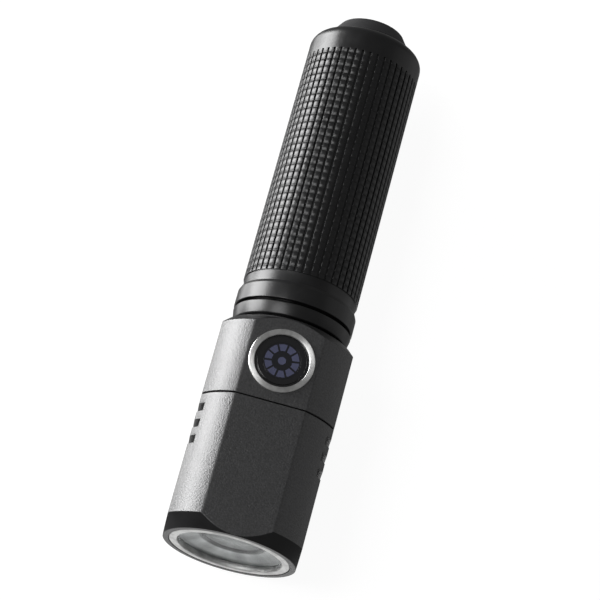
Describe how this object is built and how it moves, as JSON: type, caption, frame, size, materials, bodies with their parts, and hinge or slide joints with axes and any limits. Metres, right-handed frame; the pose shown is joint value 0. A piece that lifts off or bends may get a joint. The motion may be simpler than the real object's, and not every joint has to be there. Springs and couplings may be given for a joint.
{
  "type": "tactical flashlight",
  "caption": "Focusing flashlight with a flat-sided head, side button with charge gauge, grooved battery tube and rubber tail switch.",
  "frame": {"origin": "under the middle of the length, on the surface that the head's back flat lies on", "axes": "+Z out of the flat with the side button, +Y towards the tail switch, so the beam leaves along -Y; X across, mirror plane at x = 0"},
  "size_m": [0.0272, 0.1182, 0.0275],
  "materials": {
    "black_anodised": "bead-blasted, black anodised, fine satin grain",
    "bright_steel": "turned and polished",
    "window_glass": "clear, polished",
    "optic_acrylic": "clear moulded optic",
    "silver_plastic": "bright metallised",
    "black_rubber": "matte",
    "spring_steel": "plain nickel-plated",
    "contact_brass": "bright",
    "board_white": "white solder mask",
    "board_green": "green solder mask",
    "led_phosphor": "yellow phosphor under a clear dome",
    "white_plastic": "moulded",
    "black_plastic": "moulded",
    "button_gloss": "glossy tinted",
    "gauge_plastic": "bluish-grey light guides",
    "red_insulation": "silicone sleeve",
    "black_insulation": "silicone sleeve",
    "cell_wrap": "shrink-wrapped cell"
  },
  "bodies": {
    "switch_body": {"switch_housing": "black_anodised", "inner_barrel": "black_anodised", "focus_oring": "black_rubber", "guide_pin": "spring_steel", "led_board": "board_white", "led_emitter": "led_phosphor", "led_centring_ring": "white_plastic", "led_board_screw_1": "spring_steel", "led_board_screw_2": "spring_steel", "led_wire_positive": "red_insulation", "led_wire_negative": "black_insulation", "driver_board": "board_green", "driver_inductor": "black_plastic", "contact_spring": "contact_brass", "neck_oring": "black_rubber", "neck_ring": "black_anodised", "tube_oring": "black_rubber", "button_bezel": "bright_steel", "switch_board": "board_green", "tact_switch": "spring_steel"},
    "focus_head": {"head_sleeve": "black_anodised", "bezel_ring": "bright_steel", "front_window": "window_glass", "window_oring": "black_rubber", "collimator_optic": "optic_acrylic", "optic_holder": "silver_plastic"},
    "mode_button": {"button_cap": "button_gloss", "gauge_display": "gauge_plastic"},
    "cell": {"battery_cell": "cell_wrap", "cell_insulator": "white_plastic"},
    "tube": {"battery_tube": "black_anodised", "tail_spring": "spring_steel", "tail_retaining_ring": "contact_brass", "tail_board": "board_green", "tail_switch_holder": "black_plastic", "tail_switch": "black_plastic"},
    "tail_button": {"tail_boot": "black_rubber", "tail_plunger": "white_plastic"}
  },
  "joints": [
    {"name": "focus_slide", "type": "slide", "parent": "switch_body", "child": "focus_head", "axis": [0, -1, 0], "range_m": [0, 0.007]},
    {"name": "mode_press", "type": "slide", "parent": "switch_body", "child": "mode_button", "axis": [0, 0, -1], "range_m": [0, 0.0006], "stiffness_N_per_m": 1500},
    {"name": "tube_advance", "type": "slide", "parent": "switch_body", "child": "cell", "axis": [0, 1, 0], "range_m": [0, 0.006]},
    {"name": "tube_turn", "type": "hinge", "parent": "cell", "child": "tube", "pos_m": [0, 0, 0.01356], "axis": [0, 1, 0], "range_deg": [0, 2160]},
    {"name": "tail_press", "type": "slide", "parent": "tube", "child": "tail_button", "axis": [0, -1, 0], "range_m": [0, 0.0015], "stiffness_N_per_m": 1500}
  ],
  "couplings": [
    {"joint": "tube_turn", "follows": "tube_advance", "rad_per_m": 6283.2}
  ]
}
